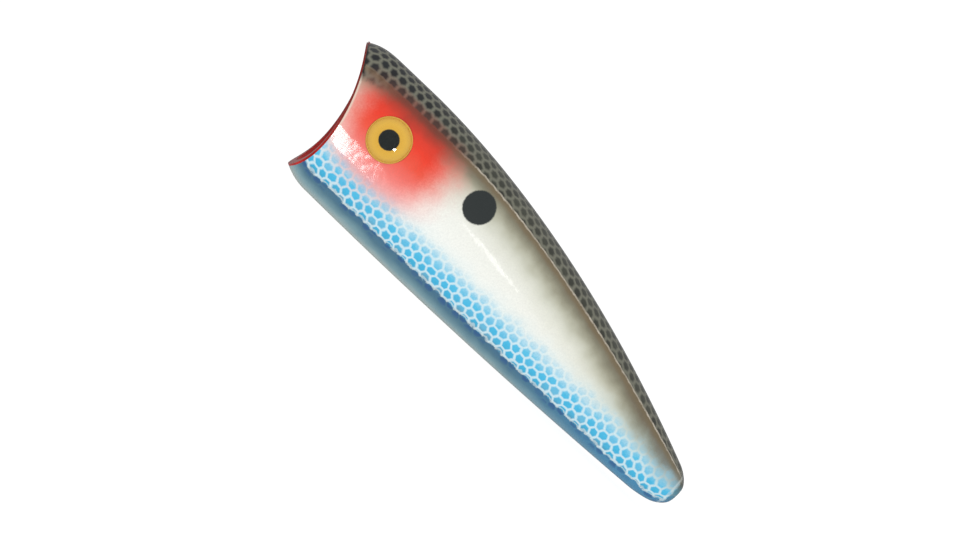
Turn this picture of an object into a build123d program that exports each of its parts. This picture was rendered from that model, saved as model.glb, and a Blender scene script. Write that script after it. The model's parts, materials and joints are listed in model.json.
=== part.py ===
from build123d import *
import os

# A topwater popper body: two moulded half shells, a cup insert in the mouth, inset eyes,
# a tail ballast slug and three rattle balls in cells of their own.
# Frame: +X towards the mouth and parallel to the keel, +Z towards the back, +Y is the lure's
# left side. The origin is the mouth of the line-tie socket, in the floor of the cup.
# "Back" is a distance behind the upper lip, and "height" a distance above the keel.

os.makedirs("parts", exist_ok=True)

# Driving dimensions, in millimetres
LENGTH = 76.0  # upper lip to tail, 3 inches
HEIGHT = 22.5  # keel to back at the shoulder
HALF_WIDTH = 8.8  # at the shoulder
CUP_DEPTH = 10.5  # upper lip to cup floor, along X
LINE_TIE_HEIGHT = 10.5
WALL = 1.3

# Lines of the body
SHOULDER_BACK = 12.0  # where the back starts to fall away
BACK_DROP = 14.4  # fall of the back from shoulder to tail
KEEL_BACK = 26.0  # lowest point of the keel
KEEL_RISE = 0.9  # over the 40 mm behind it
RIDGE_HEIGHT = 19.65  # ridge between back and flank, level to the shoulder
RIDGE_BACK = 22.0  # where the ridge starts to fall
RIDGE_DROP = 11.6  # over the 51 mm behind that
TAIL_KICK_BACK = 70.0  # where the keel turns up
STATIONS = [-2.5, 1.0, 3.5, 6.0, 9.5, 16.0, 24.0, 33.0, 42.0, 51.0, 59.0, 66.0, 71.5]
TAIL_STATIONS = [(73.6, 1.0), (74.9, 0.92), (75.65, 0.74), (76.0, 0.52)]  # back, fullness

# Cup insert in the mouth
CUP_WALL = 0.8
CUP_RIM = 0.45  # rim that caps the shells' front edges
LIP_WALL = 0.7  # shell wall left outside the cup
CUP_TALLER = 2.1  # by how much the cup is taller than wide, at each side of its axis
CUP_AXIS_HEIGHT = 11.4
CUP_STAGES = [(0.0, 0.30), (0.7, 0.50), (2.0, 0.70), (4.2, 0.88), (7.5, 1.0), (14.0, 1.06)]

# Ribs, screw bosses and their pilot sockets
RIB = 1.1
BOSS_RADIUS = 2.6
PILOT_RADIUS = 0.6
NOSE_PILOT = 9.0
NOSE_RIB_BACK = 19.5
BELLY_PILOT = 8.0
BELLY_BOSS_BACK = 26.0
BELLY_BOSS_HEIGHT = 11.0
TAIL_PILOT = 8.0
TAIL_PILOT_HEIGHT = 5.0
TAIL_BLOCK_BACK = 64.5

# Rattle cells and their balls
BALL_RADIUS = 2.0
CELL_RADIUS = 2.3
CELL_LENGTH = 7.2
CELL_WALL = 0.9
CELL_HEIGHT = 11.0
CELLS_BACK = 31.0
END_GAP = 0.05  # between a ball and the cell's end wall at either stop
BALLS = ["rattle_ball_front", "rattle_ball_middle", "rattle_ball_rear"]

# Ballast slug
BALLAST_RADIUS = 3.3
BALLAST_LENGTH = 8.6
BALLAST_BACK = 55.6
BALLAST_HEIGHT = 6.4
BALLAST_CHAMFER = 0.6
CRADLE_RIBS_BACK = [57.2, 61.6]

# Locating pins on the left shell, which enter sockets in the right one
PIN_RADIUS = 0.75
PIN_LENGTH = 1.4
PIN_CLEARANCE = 0.05
PIN_BOSS_RADIUS = 1.6
PIN_BOSS_LENGTH = 2.6
PINS = [(20.0, 18.6), (20.0, 3.4), (38.65, 16.4), (54.85, 12.4), (54.85, 3.2), (67.5, 8.0)]

# Eyes
EYE_BACK = 11.5
EYE_HEIGHT = 14.35
EYE_RADIUS = 3.25
EYE_CLEARANCE = 0.05
SOCKET_DEPTH = 0.8
DISC_THICKNESS = 0.3
LENS_EDGE = 0.3
LENS_CROWN = 0.75

FAR = 40.0  # beyond any part of the body

BASE = (Align.CENTER, Align.CENTER, Align.MIN)


def at_x(back):
    return CUP_DEPTH - back


def at_z(height):
    return height - LINE_TIE_HEIGHT


def back_height(back):
    """Top of the body: a rounded lip, level to the shoulder, then a falling curve."""
    fall = max(back - SHOULDER_BACK, 0) / (LENGTH - SHOULDER_BACK - 1.5)
    lip = min(max(1 - back / 6, 0), 1)
    return HEIGHT - BACK_DROP * fall**1.8 - 1.5 * lip**3


def keel_height(back):
    """Bottom of the body: nearly straight, rounded up to the lower lip and kicked up at the tail."""
    kick = max(back - TAIL_KICK_BACK, 0)
    lip = min(max(1 - (back - 3) / 5, 0), 1.2)
    return KEEL_RISE * ((back - KEEL_BACK) / 40) ** 2 + 0.03 * kick**2 + 1.5 * lip**2


def ridge_height(back):
    """The edge between back and flank: level, then falling less steeply than the back."""
    fall = max(back - RIDGE_BACK, 0) / (LENGTH - RIDGE_BACK - 3)
    lip = min(max(1 - back / 6, 0), 1)
    return RIDGE_HEIGHT - RIDGE_DROP * fall**1.5 - lip**3


def half_width(back):
    """Greatest half breadth of a section."""
    return HALF_WIDTH - 5.5 * (max(back - 14, 0) / 61) ** 1.7


def body_section(back, fullness=1.0, inset=0.0):
    """One cross-section: an arched back, bowed flanks from ridge to chine, a shallow belly."""
    middle = (back_height(back) + keel_height(back)) / 2
    depth = (back_height(back) - keel_height(back)) * fullness
    wide = half_width(back) * fullness
    top = at_z(middle + depth / 2)
    bottom = at_z(middle - depth / 2)
    aft = back / LENGTH
    ridge = (wide * (0.72 + 0.06 * aft), at_z(middle + (ridge_height(back) - middle) * fullness))
    chine = (wide * 0.70, bottom + depth * (0.15 + 0.03 * aft**2))
    with BuildSketch(Plane.YZ.offset(at_x(back))) as section:
        with BuildLine():
            TangentArc((0, top), ridge, tangent=(1, 0))
            ThreePointArc(ridge, (wide, at_z(middle)), chine)
            TangentArc((0, bottom), chine, tangent=(1, 0))
            mirror(about=Plane.YZ)
        make_face()
        if inset:
            offset(amount=-inset, kind=Kind.INTERSECTION)
    return section.sketch


def face_block(behind):
    """Everything ahead of the mouth's notched face, or of that face moved this far behind."""
    lip = (at_x(-0.1 + behind), at_z(21.6))
    upper = (at_x(3.1 + behind), at_z(16.3))
    notch = (at_x(4.75 + behind), at_z(10.8))
    jaw = (at_x(5.1 + behind), at_z(5.6))
    lower = (at_x(3.7 + behind), at_z(1.0))
    with BuildPart() as block:
        with BuildSketch(Plane.XZ):
            with BuildLine():
                Spline(lip, upper, notch, jaw, lower)
                Polyline(lower, (lower[0] + 1.2, -FAR), (FAR, -FAR), (FAR, FAR), (lip[0] + 3.5, FAR), lip)
            make_face()
        extrude(amount=FAR, both=True)
    return block.part


def bowl(grow):
    """The hollow of the cup, made larger all round by grow."""
    with BuildPart() as hollow:
        for ahead, share in CUP_STAGES:
            wide = (HALF_WIDTH - LIP_WALL - CUP_WALL) * share + grow
            with BuildSketch(Plane.YZ.offset(ahead - grow)):
                with Locations((0, at_z(CUP_AXIS_HEIGHT) * share)):
                    Ellipse(wide, wide + CUP_TALLER * share)
        loft()
    return hollow.part


def along_x(back, height):
    """A place on the centre plane whose local Z points to the tail."""
    return Plane(origin=(at_x(back), 0, at_z(height)), z_dir=(-1, 0, 0))


def across_y(back, height):
    """A place on the centre plane whose local Z points to the lure's left."""
    return Plane(origin=(at_x(back), 0, at_z(height)), z_dir=(0, 1, 0))


def cell_back(number):
    return CELLS_BACK + number * (CELL_LENGTH + CELL_WALL)


# Solid form of the body, which every piece is cut from
with BuildPart() as body:
    for back in STATIONS:
        add(body_section(back))
    for back, fullness in TAIL_STATIONS:
        add(body_section(back, fullness))
    loft()

# Hollow inside the walls, open to the mouth and closed by the solid tail block
with BuildPart() as hollow:
    for back in STATIONS:
        add(body_section(back, inset=WALL))
    loft()
    with Locations(along_x(TAIL_BLOCK_BACK, LINE_TIE_HEIGHT)):
        Box(FAR, FAR, FAR, align=BASE, mode=Mode.SUBTRACT)

# Everything moulded inside the shells: ribs, screw bosses, the rattle tube and the pin bosses
with BuildPart() as inside:
    for back in [NOSE_RIB_BACK, *CRADLE_RIBS_BACK]:
        with Locations(along_x(back, LINE_TIE_HEIGHT)):
            Box(FAR, FAR, RIB, align=BASE)
    for number in range(len(BALLS) + 1):
        with Locations(along_x(cell_back(number) - CELL_WALL, LINE_TIE_HEIGHT)):
            Box(FAR, FAR, CELL_WALL, align=BASE)
    with Locations(along_x(CUP_DEPTH, LINE_TIE_HEIGHT)):
        Cylinder(BOSS_RADIUS, NOSE_RIB_BACK + RIB - CUP_DEPTH, align=BASE)
    with Locations((at_x(BELLY_BOSS_BACK), 0, at_z(0))):
        Cylinder(BOSS_RADIUS, BELLY_BOSS_HEIGHT, align=BASE)
    with Locations(along_x(CELLS_BACK - CELL_WALL, CELL_HEIGHT)):
        Cylinder(CELL_RADIUS + CELL_WALL, cell_back(len(BALLS)) - CELLS_BACK, align=BASE)
    with Locations([across_y(back, height) for back, height in PINS]):
        Cylinder(PIN_BOSS_RADIUS, 2 * PIN_BOSS_LENGTH)
    add(body.part, mode=Mode.INTERSECT)


def belly_point():
    """Where the belly's surface crosses the axis of its screw boss."""
    return (at_x(BELLY_BOSS_BACK), 0, at_z(keel_height(BELLY_BOSS_BACK)))


def eye_plane(side, depth):
    """The plane of one eye, square to the flank at its centre and this deep below it."""
    ray = Axis((at_x(EYE_BACK), FAR, at_z(EYE_HEIGHT)), (0, -1, 0))
    hits = [hit for face in body.faces() for hit in face.find_intersection_points(ray)]
    point, normal = max(hits, key=lambda hit: hit[0].Y)
    centre = point - normal * depth
    return Plane(origin=(centre.X, side * centre.Y, centre.Z), z_dir=(normal.X, side * normal.Y, normal.Z))


# Both shells as one casing, before it is parted along the centre plane
with BuildPart() as casing:
    add(body.part)
    add(hollow.part, mode=Mode.SUBTRACT)
    add(inside.part)
    for number in range(len(BALLS)):
        with Locations(along_x(cell_back(number), CELL_HEIGHT)):
            Cylinder(CELL_RADIUS, CELL_LENGTH, align=BASE, mode=Mode.SUBTRACT)
    with Locations(along_x(BALLAST_BACK, BALLAST_HEIGHT)):
        Cylinder(BALLAST_RADIUS, BALLAST_LENGTH, align=BASE, mode=Mode.SUBTRACT)
    add(face_block(CUP_RIM), mode=Mode.SUBTRACT)
    add(bowl(CUP_WALL), mode=Mode.SUBTRACT)
    with Locations(along_x(CUP_DEPTH, LINE_TIE_HEIGHT)):
        Cylinder(PILOT_RADIUS, NOSE_PILOT, align=BASE, mode=Mode.SUBTRACT)
    with Locations(along_x(LENGTH - TAIL_PILOT, TAIL_PILOT_HEIGHT)):
        Cylinder(PILOT_RADIUS, FAR, align=BASE, mode=Mode.SUBTRACT)
    with Locations(belly_point()):
        Cylinder(PILOT_RADIUS, 2 * BELLY_PILOT, mode=Mode.SUBTRACT)
    with Locations(eye_plane(1, SOCKET_DEPTH), eye_plane(-1, SOCKET_DEPTH)):
        Cylinder(EYE_RADIUS + EYE_CLEARANCE, 2 * SOCKET_DEPTH, align=BASE, mode=Mode.SUBTRACT)

with BuildPart() as left_shell:
    add(casing.part)
    with Locations((0, 0, 0)):
        Box(4 * FAR, FAR, 2 * FAR, align=(Align.CENTER, Align.MIN, Align.CENTER), mode=Mode.INTERSECT)
    with Locations([across_y(back, height) for back, height in PINS]):
        Cylinder(PIN_RADIUS, 2 * PIN_LENGTH)
left_shell.part.label = "left_shell"
export_step(left_shell.part, "parts/left_shell.step")

with BuildPart() as right_shell:
    add(casing.part)
    with Locations((0, 0, 0)):
        Box(4 * FAR, FAR, 2 * FAR, align=(Align.CENTER, Align.MAX, Align.CENTER), mode=Mode.INTERSECT)
    with Locations([across_y(back, height) for back, height in PINS]):
        Cylinder(PIN_RADIUS + PIN_CLEARANCE, 2 * (PIN_LENGTH + PIN_CLEARANCE), mode=Mode.SUBTRACT)
right_shell.part.label = "right_shell"
export_step(right_shell.part, "parts/right_shell.step")

# The cup: a bowl whose rim caps both shells' front edges, drilled for the screw eye
with BuildPart() as mouth_cup:
    add(body.part)
    add(face_block(CUP_RIM), mode=Mode.INTERSECT)
    add(bowl(CUP_WALL))
    add(body.part, mode=Mode.INTERSECT)
    add(face_block(0), mode=Mode.SUBTRACT)
    add(bowl(0), mode=Mode.SUBTRACT)
    with Locations(along_x(CUP_DEPTH, LINE_TIE_HEIGHT)):
        Cylinder(PILOT_RADIUS, 2 * CUP_WALL, mode=Mode.SUBTRACT)
mouth_cup.part.label = "mouth_cup"
export_step(mouth_cup.part, "parts/mouth_cup.step")

# Each eye: a printed disc on the socket's floor, under a clear domed lens
for side, name in [(1, "left"), (-1, "right")]:
    with BuildPart(eye_plane(side, SOCKET_DEPTH)) as eye_disc:
        Cylinder(EYE_RADIUS, DISC_THICKNESS, align=BASE)
    eye_disc.part.label = name + "_eye_disc"
    export_step(eye_disc.part, "parts/" + name + "_eye_disc.step")

    dome_radius = (EYE_RADIUS**2 + LENS_CROWN**2) / (2 * LENS_CROWN)
    with BuildPart(eye_plane(side, SOCKET_DEPTH - DISC_THICKNESS)) as eye_lens:
        Cylinder(EYE_RADIUS, LENS_EDGE + LENS_CROWN, align=BASE)
        with Locations((0, 0, LENS_EDGE + LENS_CROWN - dome_radius)):
            Sphere(dome_radius, mode=Mode.INTERSECT)
    eye_lens.part.label = name + "_eye_lens"
    export_step(eye_lens.part, "parts/" + name + "_eye_lens.step")

with BuildPart(along_x(BALLAST_BACK, BALLAST_HEIGHT)) as tail_ballast:
    Cylinder(BALLAST_RADIUS, BALLAST_LENGTH, align=BASE)
    chamfer(tail_ballast.edges().filter_by(GeomType.CIRCLE), BALLAST_CHAMFER)
tail_ballast.part.label = "tail_ballast"
export_step(tail_ballast.part, "parts/tail_ballast.step")

# The balls rest against the front wall of their cells
for number, name in enumerate(BALLS):
    with BuildPart(along_x(cell_back(number) + BALL_RADIUS + END_GAP, CELL_HEIGHT)) as rattle_ball:
        Sphere(BALL_RADIUS)
    rattle_ball.part.label = name
    export_step(rattle_ball.part, "parts/" + name + ".step")
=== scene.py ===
import functools
import json
import math

import bmesh
import bpy
from mathutils import Matrix, Vector

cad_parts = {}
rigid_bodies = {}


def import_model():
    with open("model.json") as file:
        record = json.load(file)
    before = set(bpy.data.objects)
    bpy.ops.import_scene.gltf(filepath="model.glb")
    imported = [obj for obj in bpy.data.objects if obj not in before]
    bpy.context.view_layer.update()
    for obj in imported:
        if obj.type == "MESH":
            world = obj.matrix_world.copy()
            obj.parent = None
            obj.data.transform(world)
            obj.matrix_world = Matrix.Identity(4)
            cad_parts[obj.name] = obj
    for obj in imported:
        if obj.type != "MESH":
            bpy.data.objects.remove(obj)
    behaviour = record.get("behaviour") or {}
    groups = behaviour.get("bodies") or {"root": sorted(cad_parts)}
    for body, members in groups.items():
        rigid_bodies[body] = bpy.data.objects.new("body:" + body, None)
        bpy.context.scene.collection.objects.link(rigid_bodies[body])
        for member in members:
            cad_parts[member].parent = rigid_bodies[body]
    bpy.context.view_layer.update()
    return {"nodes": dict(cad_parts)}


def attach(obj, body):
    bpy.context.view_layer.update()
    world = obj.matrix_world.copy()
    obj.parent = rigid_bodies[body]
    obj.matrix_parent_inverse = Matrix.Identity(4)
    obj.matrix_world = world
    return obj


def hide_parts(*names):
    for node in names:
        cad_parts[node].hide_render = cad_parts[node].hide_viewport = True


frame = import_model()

# A topwater popper, 76 mm long, in the frame of its CAD model: +X to the mouth, +Z to the back,
# +Y to the left side. Lines of the body are worked out in millimetres and scaled by MM.
MM = 0.001
nodes = frame["nodes"]
scene = bpy.context.scene
scene.view_settings.view_transform = "Standard"

# ------------------------------ Camera
# A long lens looks at the left flank, a little from ahead and from above the back. The camera is
# rolled, so that the body hangs across the frame with its mouth up and to the left.
YAW = math.radians(5.5)
RISE = math.radians(6.5)
ROLL = math.radians(44.1)
FRAME_WIDTH = 137.6  # mm across the picture at the body
AIM = Vector((-24.7, 0, -1.2)) * MM

camera_data = bpy.data.cameras.new("camera")
camera_data.lens = 135
camera_data.sensor_width = 36
camera = bpy.data.objects.new("camera", camera_data)
scene.collection.objects.link(camera)
scene.camera = camera
to_camera = Vector((math.sin(YAW) * math.cos(RISE), math.cos(YAW) * math.cos(RISE), math.sin(RISE)))
distance = camera_data.lens / camera_data.sensor_width * FRAME_WIDTH * MM
turn = to_camera.to_track_quat("Z", "Y").to_matrix() @ Matrix.Rotation(ROLL, 3, "Z")
camera.matrix_world = Matrix.Translation(AIM + to_camera * distance) @ turn.to_4x4()

# ------------------------------ Body shells
# Two injection-moulded ABS half shells, welded along the centre plane and painted as one. Each
# has an arched back, a bowed flank between a ridge and a chine, and a shallow belly.
LENGTH = 76.0
HEIGHT = 22.5
CUP_DEPTH = 10.5  # from the upper lip back to the cup's floor, where the frame has its origin
LINE_TIE_HEIGHT = 10.5  # of the origin above the keel
CUP_RIM = 0.32  # thickness of the cup's rim in front of the shells
WALL = 1.3
LIP_WALL = 0.6
WALL_GROWS_BACK = (7.0, 11.0)  # where the wall goes from the lip's thickness to the full one
TAIL_ROUND = 2.4  # length of the tail's rounding
TAIL_FLAT = 0.52  # size of the flat tail end, as a share of the section
PILOT_RADIUS = 0.6
BELLY_PILOT_BACK = 26.0
TAIL_PILOT_HEIGHT = 5.0
BACK_SHARE, BELLY_SHARE = 0.24, 0.78  # of the girth, where ridge and chine lie
EYE_BACK, EYE_HEIGHT = 11.5, 14.35
EYE_RADIUS = 3.25
EYE_SOCKET = 0.8


def back_height(back):
    """Height of the back at this distance behind the upper lip; the lip itself droops a little."""
    fall = max(back - 12.0, 0) / 62.5
    lip = min(max(1 - back / 6, 0), 1)
    return HEIGHT - 14.4 * fall**1.8 - 1.5 * lip**3


def keel_height(back):
    """Height of the keel, which rises to the lower lip and to the tail."""
    lip = min(max(1 - (back - 3) / 5, 0), 1.2)
    return 0.9 * ((back - 26.0) / 40) ** 2 + 0.03 * max(back - 70.0, 0) ** 2 + 1.5 * lip**2


def ridge_height(back):
    """Height of the line between back and flank."""
    lip = min(max(1 - back / 6, 0), 1)
    return 19.65 - 11.6 * (max(back - 22.0, 0) / 51) ** 1.5 - lip**3


def half_width(back):
    """Half the body's breadth, which tapers behind the cup."""
    return 8.8 - 5.5 * (max(back - 14, 0) / 61) ** 1.7


def corners(back, fullness=1.0):
    """Top, ridge, broadest point, chine and bottom of one section, as (y, height)."""
    middle = (back_height(back) + keel_height(back)) / 2
    depth = (back_height(back) - keel_height(back)) * fullness
    wide = half_width(back) * fullness
    aft = back / LENGTH
    top, bottom = middle + depth / 2, middle - depth / 2
    ridge = (wide * (0.72 + 0.06 * aft), middle + (ridge_height(back) - middle) * fullness)
    chine = (wide * 0.70, bottom + depth * (0.15 + 0.03 * aft**2))
    return (0, top), ridge, (wide, middle), chine, (0, bottom)


def along_arc(start, through, end, share):
    """A point at a share of the arc through three points, all as (y, height)."""
    a, b, c = (complex(*point) for point in (start, through, end))
    w = (c - a) / (b - a)
    centre = a + (b - a) * (w - abs(w) ** 2) / (2j * w.imag)
    swept = (c - centre) / (a - centre)
    angle = math.atan2(swept.imag, swept.real) * share
    place = centre + (a - centre) * complex(math.cos(angle), math.sin(angle))
    return place.real, place.imag


def girth_point(back, girth, fullness=1.0):
    """(y, height) on the section, with girth from 0 at the top to 1 at the bottom."""
    top, ridge, broad, chine, bottom = corners(back, fullness)
    if girth <= BACK_SHARE:
        return along_arc((-ridge[0], ridge[1]), top, ridge, 0.5 + 0.5 * girth / BACK_SHARE)
    if girth <= BELLY_SHARE:
        return along_arc(ridge, broad, chine, (girth - BACK_SHARE) / (BELLY_SHARE - BACK_SHARE))
    return along_arc(chine, bottom, (-chine[0], chine[1]), 0.5 * (girth - BELLY_SHARE) / (1 - BELLY_SHARE))


def face_back(height):
    """How far behind the upper lip the notched face lies at this height: one smooth curve through
    the lip, three points of the notch and the lower lip, each as (height, back)."""
    knots = [(21.6, -0.1), (16.3, 3.1), (10.8, 4.75), (5.6, 5.1), (1.0, 3.7)]
    total = 0
    for i, (h, back) in enumerate(knots):
        for j, (other, _) in enumerate(knots):
            if i != j:
                back *= (height - other) / (h - other)
        total += back
    return total


def front_edge(girth, behind):
    """Where the section lines at this girth meet the face, or the face moved this far behind."""
    back = 2.0
    for _ in range(40):
        back += 0.5 * (face_back(girth_point(max(back, 0), girth)[1]) + behind - back)
    return back


def skin_point(along, girth):
    """A point of the outside: along runs from 0 at the front edge to 1 where the body is full,
    then to 2 round the tail's edge, and to 3 at the rim of the tail's pilot socket."""
    if along <= 1:
        front = front_edge(girth, CUP_RIM)
        back = front + (LENGTH - TAIL_ROUND - front) * along
        y, height = girth_point(max(back, 0), girth)
    else:
        bend = min(along - 1, 1) * math.pi / 2
        back = LENGTH - TAIL_ROUND + TAIL_ROUND * math.sin(bend)
        fullness = TAIL_FLAT + (1 - TAIL_FLAT) * math.cos(bend)
        y, height = girth_point(back, girth, fullness)
        if along > 2:
            angle = math.pi * girth
            y += (PILOT_RADIUS * math.sin(angle) - y) * (along - 2)
            height += (TAIL_PILOT_HEIGHT + PILOT_RADIUS * math.cos(angle) - height) * (along - 2)
    return Vector((CUP_DEPTH - back, y, height - LINE_TIE_HEIGHT)) * MM


def grid(rows, columns, place):
    """A bmesh grid whose corners are put where place(row share, column share) says."""
    made = bmesh.new()
    bmesh.ops.create_grid(made, x_segments=rows, y_segments=columns, size=0.5)
    for vert in made.verts:
        vert.co = place(min(max(vert.co.x + 0.5, 0), 1), min(max(vert.co.y + 0.5, 0), 1))
    return made


def smoothed(mesh, sharp_from):
    """Shades a mesh smooth but for edges sharper than the angle."""
    mesh.shade_smooth()
    mesh.set_sharp_from_angle(angle=math.radians(sharp_from))


def finished(made, name, sharp_from=35):
    """Makes an object of a bmesh."""
    mesh = bpy.data.meshes.new(name)
    made.to_mesh(mesh)
    made.free()
    smoothed(mesh, sharp_from)
    piece = bpy.data.objects.new(name, mesh)
    scene.collection.objects.link(piece)
    return piece


def worked(piece, steps, solver, sharp_from):
    """Applies a piece's modifiers, then adds or cuts away each (solid, operation) in turn."""
    tools = [finished(made, "tool") for made, _ in steps]
    for tool, (_, operation) in zip(tools, steps):
        step = piece.modifiers.new("step", "BOOLEAN")
        step.solver, step.operation, step.object = solver, operation, tool
    bpy.context.view_layer.update()
    evaluated = piece.evaluated_get(bpy.context.evaluated_depsgraph_get())
    mesh = bpy.data.meshes.new_from_object(evaluated)
    piece.modifiers.clear()
    piece.data = mesh
    for tool in tools:
        bpy.data.objects.remove(tool)
    smoothed(mesh, sharp_from)


def cylinder(radius, depth, segments, place):
    """A closed cylinder from the place along its Z axis."""
    made = bmesh.new()
    bmesh.ops.create_cone(
        made, cap_ends=True, segments=segments, radius1=radius, radius2=radius, depth=depth
    )
    middle = place @ Matrix.Translation((0, 0, depth / 2))
    bmesh.ops.transform(made, matrix=middle, verts=made.verts)
    return made


def flank_at(back, height):
    """A point of the left flank at this place, and the outward normal there."""
    low, high = BACK_SHARE, BELLY_SHARE
    for _ in range(40):
        girth = (low + high) / 2
        low, high = (girth, high) if girth_point(back, girth)[1] > height else (low, girth)

    def near(back_step, girth_step):
        y, level = girth_point(back + back_step, girth + girth_step)
        return Vector((CUP_DEPTH - back - back_step, y, level - LINE_TIE_HEIGHT))

    here = near(0, 0)
    normal = (near(0, 0.001) - here).cross(near(0.05, 0) - here).normalized()
    return here * MM, normal if normal.y > 0 else -normal


# The plane of the left eye: its centre lies on the flank, and its Z axis is the flank's normal
eye_centre, eye_normal = flank_at(EYE_BACK, EYE_HEIGHT)
left_eye = Matrix.Translation(eye_centre) @ eye_normal.to_track_quat("Z", "Y").to_matrix().to_4x4()


def mark_paint_lines(mesh):
    """Stores where each point lies for the painter: distance from the upper lip, signed girth
    distances above the ridge and above the chine, and distance behind the mouth's face, in mm."""
    mesh.attributes.new("paint_mm", "FLOAT_VECTOR", "POINT")
    mesh.attributes.new("rim_mm", "FLOAT", "POINT")
    lines, rims = mesh.attributes["paint_mm"].data, mesh.attributes["rim_mm"].data
    for vert, line, behind in zip(mesh.vertices, lines, rims):
        back = CUP_DEPTH - vert.co.x / MM
        y, height = abs(vert.co.y) / MM, vert.co.z / MM + LINE_TIE_HEIGHT
        _, ridge, _, chine, _ = corners(min(max(back, 0), LENGTH))
        over_ridge = math.hypot(y - ridge[0], height - ridge[1])
        over_chine = math.hypot(y - chine[0], height - chine[1])
        on_back = height > ridge[1] or (y < ridge[0] and height > ridge[1] - 0.05)
        on_belly = height < chine[1]
        over_ridge *= 1 if on_back else -1
        over_chine *= -1 if on_belly else 1
        line.vector = (back, over_ridge, over_chine)
        behind.value = back - face_back(height)


def shell(side, name):
    """One half shell: the outside as a grid, a wall put inside it, then its sockets cut."""
    rows, columns, bend_rows, cap_rows = 190, 100, 12, 10
    all_rows = rows + bend_rows + cap_rows

    def place(row_share, column_share):
        row = round(row_share * all_rows)
        if row <= rows:
            along = (row / rows) ** 0.94
        elif row <= rows + bend_rows:
            along = 1 + (row - rows) / bend_rows
        else:
            along = 2 + (row - rows - bend_rows) / cap_rows
        return skin_point(along, column_share)

    made = grid(all_rows, columns, place)
    edges = [round(BACK_SHARE * columns), round(BELLY_SHARE * columns)]
    made.verts.ensure_lookup_table()
    per_row = all_rows + 1
    corner = [v for v in made.verts if v.index // per_row in edges and v.index % per_row > 0]
    bmesh.ops.smooth_vert(made, verts=corner, factor=0.5, use_axis_y=True, use_axis_z=True)
    if side < 0:
        bmesh.ops.scale(made, vec=(1, -1, 1), verts=made.verts)
    bmesh.ops.recalc_face_normals(made, faces=made.faces)
    middle = max(made.faces, key=lambda face: side * face.calc_center_median().y)
    if middle.normal.y * side < 0:
        bmesh.ops.reverse_faces(made, faces=made.faces)
    piece = finished(made, name)
    thinner = piece.vertex_groups.new(name="wall")
    grows_from, grows_to = WALL_GROWS_BACK
    for vert in piece.data.vertices:
        grown = (CUP_DEPTH - vert.co.x / MM - grows_from) / (grows_to - grows_from)
        thickness = LIP_WALL + (WALL - LIP_WALL) * min(max(grown, 0), 1)
        thinner.add([vert.index], thickness / WALL, "REPLACE")
    wall = piece.modifiers.new("wall", "SOLIDIFY")
    wall.thickness = WALL * MM
    wall.offset = -1
    wall.vertex_group = "wall"
    socket_floor = left_eye @ Matrix.Translation((0, 0, -EYE_SOCKET * MM))
    eye_socket = cylinder((EYE_RADIUS + 0.05) * MM, 4 * MM, 96, socket_floor)
    if side < 0:
        bmesh.ops.scale(eye_socket, vec=(1, -1, 1), verts=eye_socket.verts)
        bmesh.ops.recalc_face_normals(eye_socket, faces=eye_socket.faces)
    under_belly = Matrix.Translation(Vector((CUP_DEPTH - BELLY_PILOT_BACK, 0, -12)) * MM)
    belly_pilot = cylinder(PILOT_RADIUS * MM, 4 * MM, 32, under_belly)
    worked(piece, [(eye_socket, "DIFFERENCE"), (belly_pilot, "DIFFERENCE")], "EXACT", 35)
    mark_paint_lines(piece.data)
    return piece


left_shell, right_shell = shell(1, "left_skin"), shell(-1, "right_skin")


def linear(code):
    """An sRGB hex colour as linear RGBA."""
    parts = [int(code[i:i + 2], 16) / 255 for i in (1, 3, 5)]
    return (*(p / 12.92 if p <= 0.04045 else ((p + 0.055) / 1.055) ** 2.4 for p in parts), 1.0)


def add_node(tree, kind, links=None, stops=None, **settings):
    """Adds a shader node with its settings, its colour stops, and what its inputs hold or are
    linked to. Gives its first output in use, or the node itself if it has none."""
    made = tree.nodes.new("ShaderNode" + kind)
    for name, value in settings.items():
        setattr(made, name, value)
    for number, (position, colour) in enumerate(stops or []):
        ramp = made.color_ramp.elements
        stop = ramp[number] if number < 2 else ramp.new(position)
        stop.position, stop.color = position, linear(colour)
    for socket, value in (links or {}).items():
        if isinstance(value, bpy.types.NodeSocket):
            tree.links.new(value, made.inputs[socket])
        else:
            made.inputs[socket].default_value = value
    used = [output for output in made.outputs if output.enabled]
    return used[0] if used else made


def cleared(owner):
    """Empties the node tree of a material or world, and gives what adds a node to it."""
    owner.use_nodes = True
    owner.node_tree.nodes.clear()
    return functools.partial(add_node, owner.node_tree)


def material(name):
    """A new material, and what adds a node to it."""
    made = bpy.data.materials.new(name)
    return made, cleared(made)


def place_in_mm(add):
    """Where a point lies on the object, in mm."""
    place = add("TexCoord").node.outputs["Object"]
    return add("VectorMath", {0: place, 1: (1000, 1000, 1000)}, operation="MULTIPLY")


FLARE_MIDDLE, SPOT_MIDDLE = (-2.1, 0, 4.3), (-16.5, 0, 5.55)
FLANK_NET, BACK_NET = 1.56, 1.65  # width of the netting's cells
SOFT_EDGE = {"interpolation_type": "SMOOTHSTEP"}  # how blown colour fades out

# Sprayed lacquer on moulded ABS: pearl white, with colour blown on freehand and through netting,
# under a thick gloss coat. The eye sees soft edges, crisp net cells and hard highlights.
paint, add = material("sprayed_lacquer_on_abs")
lines = add("Attribute", attribute_name="paint_mm").node.outputs["Vector"]
rim_mm = add("Attribute", attribute_name="rim_mm").node.outputs["Fac"]
split = add("SeparateXYZ", {0: lines}).node
back_mm, ridge_mm, chine_mm = split.outputs
in_mm = place_in_mm(add)
side_view = add("VectorMath", {0: in_mm, 1: (1, 0, 1)}, operation="MULTIPLY")
across_mm = add("SeparateXYZ", {0: in_mm}).node.outputs["Y"]
height_mm = across_mm.node.outputs["Z"]

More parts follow.
